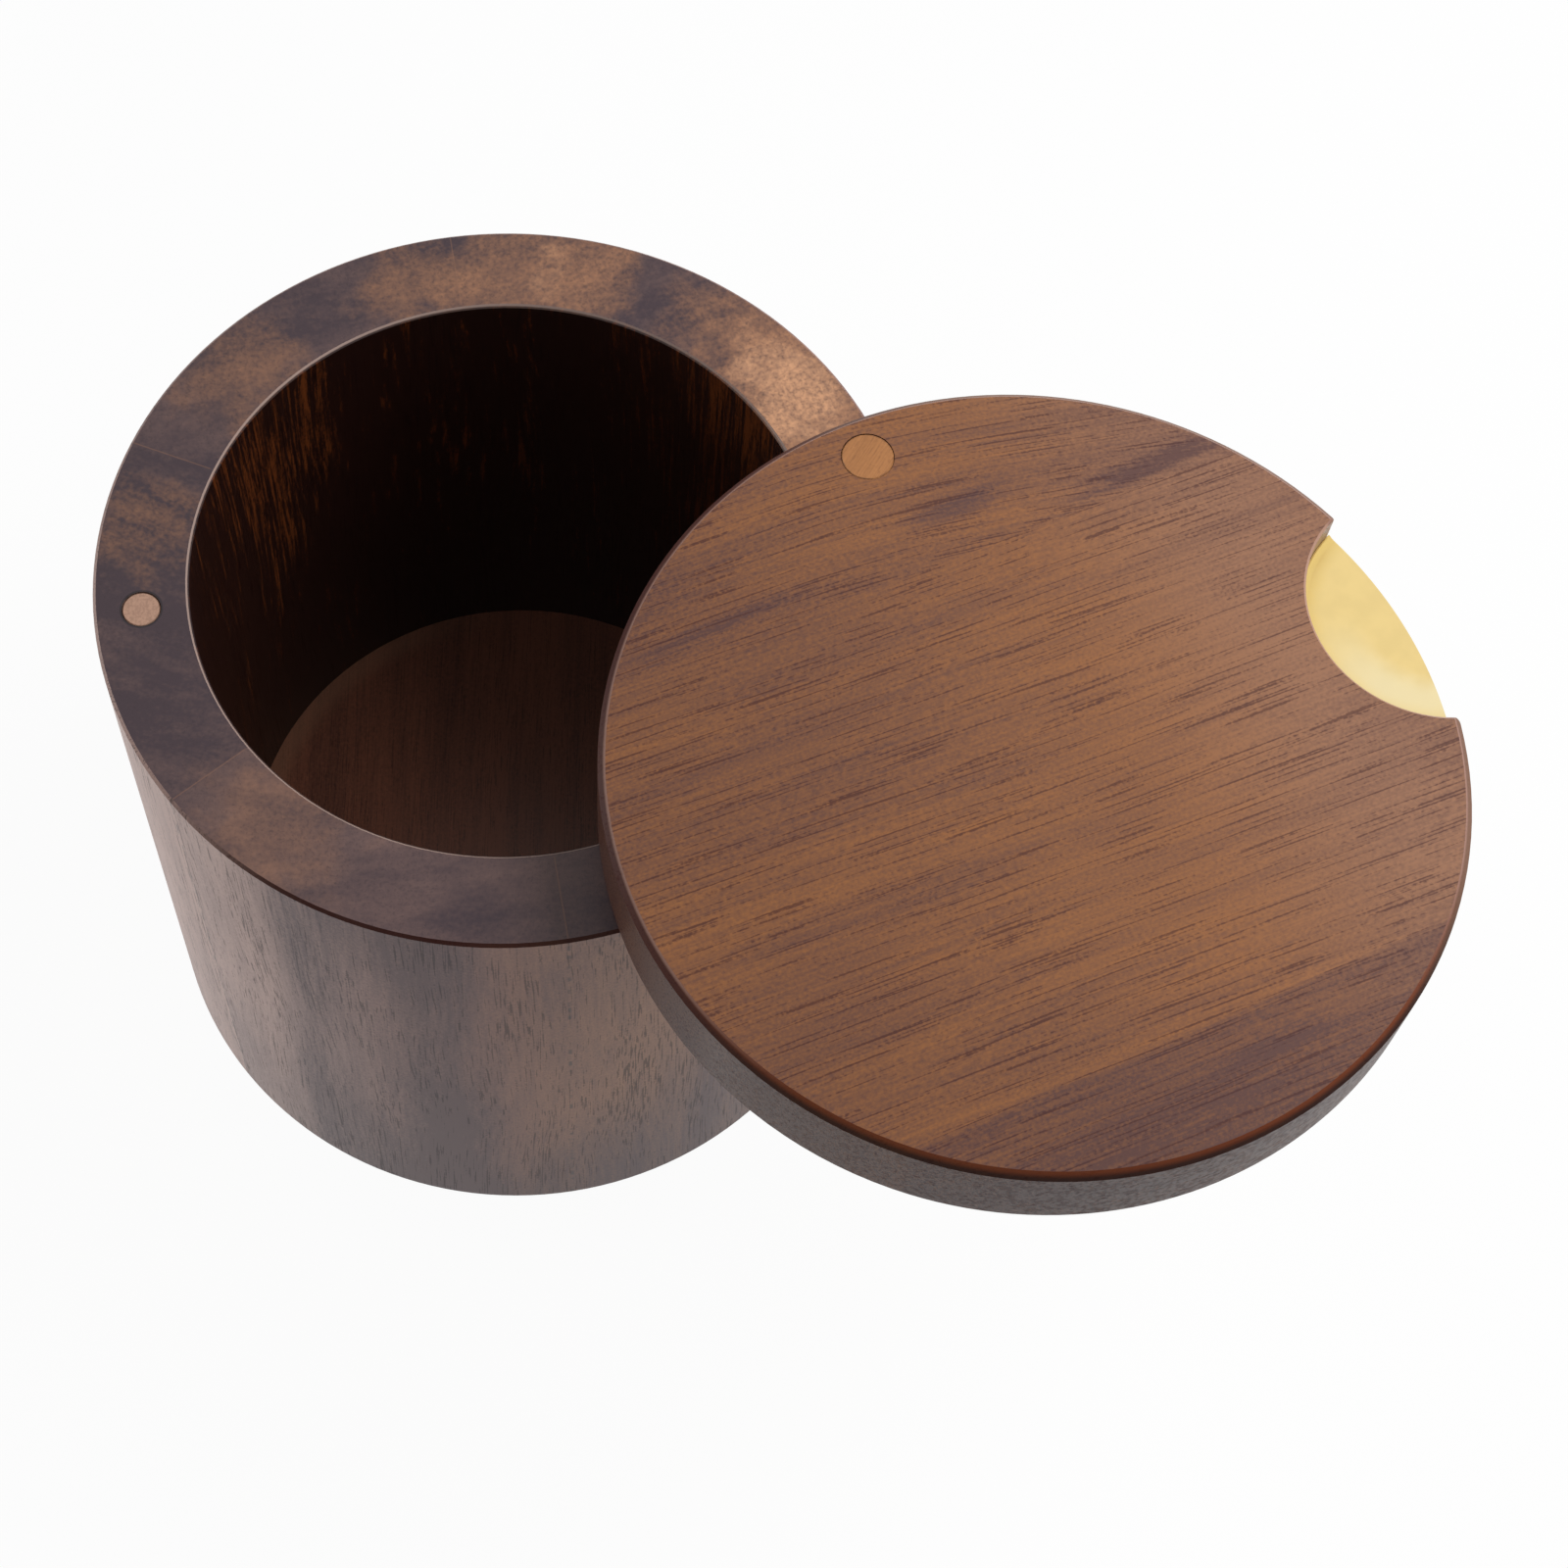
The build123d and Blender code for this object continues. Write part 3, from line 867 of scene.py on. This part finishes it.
    def work_edges(self, graph, colour, board):
        """The chamfer in painted light and shade: painted shade on one side, lit right and shaded
        left on the other, and the notch's edge as a painted highlight.
        """
        slope = graph.chamfer()
        height = graph.split(graph.place())[2]
        level = graph.vector("MULTIPLY", board, IN_BOARD)
        outer = graph.step(graph.vector("LENGTH", level), LID_RADIUS - 2.0, LID_RADIUS - 1.2)
        front = graph.vector("DOT_PRODUCT", graph.vector("NORMALIZE", level), self.shaded_side)
        # Painted shade on the chamfer of one side, painted light and shade on the other.
        shaded_part = graph.times(outer, graph.step(front, 0.35, 0.75))
        upper = graph.step(height, LID_TOP - 0.0007, LID_TOP - 0.0001)
        shade_ramp = graph.blend(upper, SHADE_LOW, SHADE_HIGH)
        left = graph.step(graph.split(board)[2], -20.0, 10.0)
        below = graph.blend(left, LIT_RIGHT, SHADED_LEFT)
        crest = graph.step(height, LID_TOP - 0.0004, LID_TOP - 0.0001)
        other_side = graph.blend(outer, NOTCH_EDGE, graph.blend(crest, below, CREST))
        painted_edge = graph.blend(shaded_part, other_side, shade_ramp)
        return graph.mark(colour, slope, LID_EDGE_STRENGTH, painted_edge), graph.times(slope, outer)


class SALTBOX_OT_pivot_plug(bpy.types.Operator):
    """Finishes the small wooden plug over the pivot screw"""

    bl_idname = "saltbox.pivot_plug"
    bl_label = "Pivot plug"

    def execute(self, context):
        finish = context.scene.saltbox_finish
        graph = new_material("Pivot plug wood")
        across, grain = along(PLUG_GRAIN - math.pi / 2), along(PLUG_GRAIN)
        wood = graph.group(
            "Wood Figure",
            Position=board_position(graph, PIVOT, across, grain, (500.0, 0.0, 0.0)),
            Light_Wood=opaque(finish.plug_light),
            Dark_Wood=opaque(finish.plug_dark),
            Pore_Colour=PLUG_PORES,
            Band_Width=3.0,
            Darkness=0.4,
            Pore_Width=0.18,
            Pore_Length=2.0,
            Pore_Amount=0.2,
            Fibre_Amount=0.7,
        )
        line = graph.group("Ring Line", Centre=PIVOT, Radius=3.25, Width=0.3, Breaks=1.0)
        colour = graph.mark(wood["Colour"], line["Mask"], *PLUG_RING)
        dress_wood("pivot_plug", graph, colour, wood["Pores"], finish)
        return {"FINISHED"}


class SALTBOX_OT_thumb_plate(bpy.types.Operator):
    """Finishes the brass plate in the thumb notch"""

    bl_idname = "saltbox.thumb_plate"
    bl_label = "Thumb plate"
    # The bright arc is a painted highlight, and the band by the wall is painted shade.
    highlight_inset = 4.4  # mm in from the notch's wall
    highlight_strength = 0.6
    painted_shade_strength = 0.7

    def execute(self, context):
        finish = context.scene.saltbox_finish
        graph = new_material("Satin brass")
        grain = graph.group("Metal Grain", Cell=(1.4, 0.25, 0.5), Cloud_Size=3.0)
        tint = graph.step(grain["Clouds"], 0.3, 0.7)
        colour = graph.blend(tint, opaque(finish.brass), opaque(finish.brass, 0.95))
        offset = graph.level(graph.vector("SUBTRACT", graph.place(), NOTCH_CENTRE))
        inset = graph.math("SUBTRACT", NOTCH_RADIUS, graph.vector("LENGTH", offset))
        inset = graph.scale_add(graph.centred(grain["Clouds"]), 1.5, inset)
        side = graph.towards(graph.vector("NORMALIZE", offset), LID_BEARING - math.pi, -0.5, 0.6)
        # A painted highlight in an arc some way in from the notch's wall, and painted shade close to
        # it elsewhere.
        painted_highlight = graph.math("ABSOLUTE", graph.math("SUBTRACT", inset, self.highlight_inset))
        painted_highlight = graph.times(graph.invert(graph.step(painted_highlight, 0.5, 3.8)), side)
        colour = graph.mark(colour, painted_highlight, self.highlight_strength, opaque(finish.brass_highlight))
        painted_shade = graph.times(graph.invert(graph.step(inset, 0.3, 3.0)), graph.invert(side))
        colour = graph.mark(colour, painted_shade, self.painted_shade_strength, opaque(finish.brass_shade))
        roughness = graph.scale_add(grain["Marks"], 0.12, 0.28)
        inputs = {"Base Color": colour, "Metallic": 1.0, "Roughness": roughness}
        dress(("thumb_plate",), graph, inputs, grain["Marks"], depth=0.000004)
        return {"FINISHED"}


class SALTBOX_OT_magnets(bpy.types.Operator):
    """Finishes the two closing magnets"""

    bl_idname = "saltbox.magnets"
    bl_label = "Magnets"

    def execute(self, context):
        finish = context.scene.saltbox_finish
        graph = new_material("Copper-toned plating")
        grain = graph.group("Metal Grain", Cell=(0.35, 0.35, 0.35), Cloud_Size=2.0)
        dull = graph.step(grain["Marks"], 0.4, 0.62)
        colour = graph.blend(dull, opaque(finish.plating), opaque(finish.plating, 0.8))
        roughness = graph.scale_add(grain["Marks"], 0.2, 0.32)
        inputs = {"Base Color": colour, "Metallic": 0.75, "Roughness": roughness}
        dress(("rim_magnet", "lid_magnet"), graph, inputs, grain["Marks"], strength=0.4)
        return {"FINISHED"}


class SALTBOX_OT_pivot_hardware(bpy.types.Operator):
    """Finishes the screw, insert, sleeve and washer of the pivot"""

    bl_idname = "saltbox.pivot_hardware"
    bl_label = "Pivot hardware"

    def execute(self, context):
        finish = context.scene.saltbox_finish
        # The marks of each way of making: their cell, size of the clouds, shade and depth.
        turned = ((2.0, 2.0, 0.12), 3.0, 0.82, 0.00001)
        moulded = ((0.5, 0.5, 0.5), 2.5, 0.9, 0.00002)
        bushes = ("threaded_insert", "pivot_sleeve")
        # Material, colour, pieces, metallic and roughness, then the marks.
        materials = (
            ("Turned brass", finish.turned_brass, bushes, 1.0, 0.25, *turned),
            ("Zinc-plated steel", finish.steel, ("pivot_screw",), 1.0, 0.3, *turned),
            ("Natural nylon", finish.nylon, ("slip_washer",), 0.0, 0.4, *moulded),
        )
        for name, tone, nodes, metallic, roughness, cell, clouds, shade, depth in materials:
            graph = new_material(name)
            grain = graph.group("Metal Grain", Cell=cell, Cloud_Size=clouds)
            inputs = {
                "Base Color": graph.blend(grain["Clouds"], opaque(tone), opaque(tone, shade)),
                "Metallic": metallic,
                "Roughness": graph.scale_add(grain["Marks"], 0.2, roughness),
            }
            dress(nodes, graph, inputs, grain["Marks"], depth)
        return {"FINISHED"}


# ---- Studio -----------------------------------------------------------------
LAMP_AIM = Vector((0.02, -0.02, 0.05))
# Each lamp: bearing from the camera's, distance, height, width, and whether metal mirrors it.
KEY_LAMP = (math.radians(18.5), 0.3, 0.4, 0.26, False)
FILL_LAMP = (math.radians(165.0), 1.0, 0.35, 0.6, True)
FLOOR_WHITENESS = 0.96  # how much of its own white the floor shows to the camera


def white_rays(graph):
    """1 for the rays that show the background itself, 0 for those that gather its light."""
    path = graph.add("ShaderNodeLightPath").outputs
    seen = graph.math("MAXIMUM", path["Is Camera Ray"], path["Is Glossy Ray"])
    return graph.math("MAXIMUM", seen, path["Is Transmission Ray"])


def add_lamp(name, studio, power, bearing, distance, height, size, mirrored):
    """A square soft lamp that faces the box; one that isn't mirrored leaves no hot spot on metal."""
    data = bpy.data.lights.new(name, "AREA")
    data.shape = "SQUARE"
    data.size = size
    data.energy = power
    lamp = bpy.data.objects.new(name, data)
    position = along(studio.camera_bearing + bearing) * distance + UP * height
    lamp.location = position
    lamp.rotation_mode = "QUATERNION"
    lamp.rotation_quaternion = (LAMP_AIM - position).to_track_quat("-Z", "Y")
    lamp.visible_glossy = mirrored
    bpy.context.scene.collection.objects.link(lamp)


class SALTBOX_OT_studio(bpy.types.Operator):
    """Adds the pale floor, the lamps, the background and the camera"""

    bl_idname = "saltbox.studio"
    bl_label = "Studio"

    def execute(self, context):
        studio = context.scene.saltbox_studio
        self.add_floor(studio)
        self.add_background(context.scene, studio)
        add_lamp("Key lamp", studio, studio.key_power, *KEY_LAMP)
        add_lamp("Fill lamp", studio, studio.fill_power, *FILL_LAMP)
        self.add_camera(context.scene, studio)
        context.scene.view_settings.view_transform = "Standard"
        return {"FINISHED"}

    @staticmethod
    def add_floor(studio):
        half = studio.floor_size / 2
        mesh = bpy.data.meshes.new("studio_floor")
        corners = [(-half, -half, 0), (half, -half, 0), (half, half, 0), (-half, half, 0)]
        mesh.from_pydata(corners, [], [(0, 1, 2, 3)])
        floor = bpy.data.objects.new("studio_floor", mesh)
        bpy.context.scene.collection.objects.link(floor)
        graph = new_material("Pale floor")
        cloud = graph.noise(graph.place_mm(), (300.0, 300.0, 300.0), detail=1.0)
        colour = graph.blend(cloud, (0.98, 0.98, 0.98, 1), (1.0, 1.0, 1.0, 1))
        inputs = {"Base Color": colour, "Roughness": 0.9, "Specular IOR Level": 0.1}
        surface = graph.add("ShaderNodeBsdfPrincipled", inputs)
        white = graph.add("ShaderNodeEmission", {"Color": colour, "Strength": 1.0})
        lifted = graph.times(white_rays(graph), FLOOR_WHITENESS)
        shaders = {0: lifted, 1: surface.outputs[0], 2: white.outputs[0]}
        mix = graph.add("ShaderNodeMixShader", shaders)
        graph.add("ShaderNodeOutputMaterial", {"Surface": mix.outputs[0]})
        mesh.materials.append(graph.material)

    @staticmethod
    def add_background(scene, studio):
        world = bpy.data.worlds.new("Studio background")
        scene.world = world
        world.use_nodes = True
        world.node_tree.nodes.clear()
        graph = Graph(world.node_tree)
        white = (1, 1, 1, 1)
        lit = graph.add("ShaderNodeBackground", {"Color": white, "Strength": studio.ambient})
        seen = graph.add("ShaderNodeBackground", {"Color": white, "Strength": 1.0})
        shaders = {0: white_rays(graph), 1: lit.outputs[0], 2: seen.outputs[0]}
        mix = graph.add("ShaderNodeMixShader", shaders)
        graph.add("ShaderNodeOutputWorld", {"Surface": mix.outputs[0]})

    @staticmethod
    def add_camera(scene, studio):
        data = bpy.data.cameras.new("Camera")
        data.sensor_width = 36.0
        data.lens = studio.lens
        data.shift_x = studio.shift
        camera = bpy.data.objects.new("Camera", data)
        level = math.cos(studio.camera_height)
        back = along(studio.camera_bearing - math.pi / 2) * level
        back.z = math.sin(studio.camera_height)
        aim = along(studio.camera_bearing) * studio.aim_side + UP * studio.aim_height
        camera.location = aim + back * studio.camera_distance
        camera.rotation_mode = "QUATERNION"
        roll = Quaternion((0, 0, 1), studio.camera_roll)
        camera.rotation_quaternion = (-back).to_track_quat("-Z", "Y") @ roll
        data.clip_start = 0.01
        data.clip_end = 20.0
        scene.collection.objects.link(camera)
        scene.camera = camera


class SALTBOX_PT_panel(bpy.types.Panel):
    """Lists the salt box's finishing steps"""

    bl_idname = "SALTBOX_PT_panel"
    bl_label = "Salt Box"
    bl_space_type = "VIEW_3D"
    bl_region_type = "UI"
    bl_category = "Salt Box"

    def draw(self, context):
        for step in STEPS:
            self.layout.operator(step.bl_idname)
        for settings in (context.scene.saltbox_finish, context.scene.saltbox_studio):
            for name in settings.__annotations__:
                self.layout.prop(settings, name)


STEPS = (
    SALTBOX_OT_wall_staves,
    SALTBOX_OT_floor_disc,
    SALTBOX_OT_lid_planks,
    SALTBOX_OT_pivot_plug,
    SALTBOX_OT_thumb_plate,
    SALTBOX_OT_magnets,
    SALTBOX_OT_pivot_hardware,
    SALTBOX_OT_studio,
)
CLASSES = (SaltBoxFinish, SaltBoxStudio, *STEPS, SALTBOX_PT_panel)


def register():
    for kind in CLASSES:
        bpy.utils.register_class(kind)
    bpy.types.Scene.saltbox_finish = bpy.props.PointerProperty(type=SaltBoxFinish)
    bpy.types.Scene.saltbox_studio = bpy.props.PointerProperty(type=SaltBoxStudio)


def unregister():
    del bpy.types.Scene.saltbox_studio
    del bpy.types.Scene.saltbox_finish
    for kind in reversed(CLASSES):
        bpy.utils.unregister_class(kind)


def main():
    """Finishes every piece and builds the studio."""
    register()
    build_wood_figure()
    build_end_grain()
    build_ring_line()
    build_warm_patch()
    build_dark_streak()
    build_metal_grain()
    bpy.ops.saltbox.wall_staves()
    bpy.ops.saltbox.floor_disc()
    bpy.ops.saltbox.lid_planks()
    bpy.ops.saltbox.pivot_plug()
    bpy.ops.saltbox.thumb_plate()
    bpy.ops.saltbox.magnets()
    bpy.ops.saltbox.pivot_hardware()
    bpy.ops.saltbox.studio()


if __name__ == "__main__":
    main()
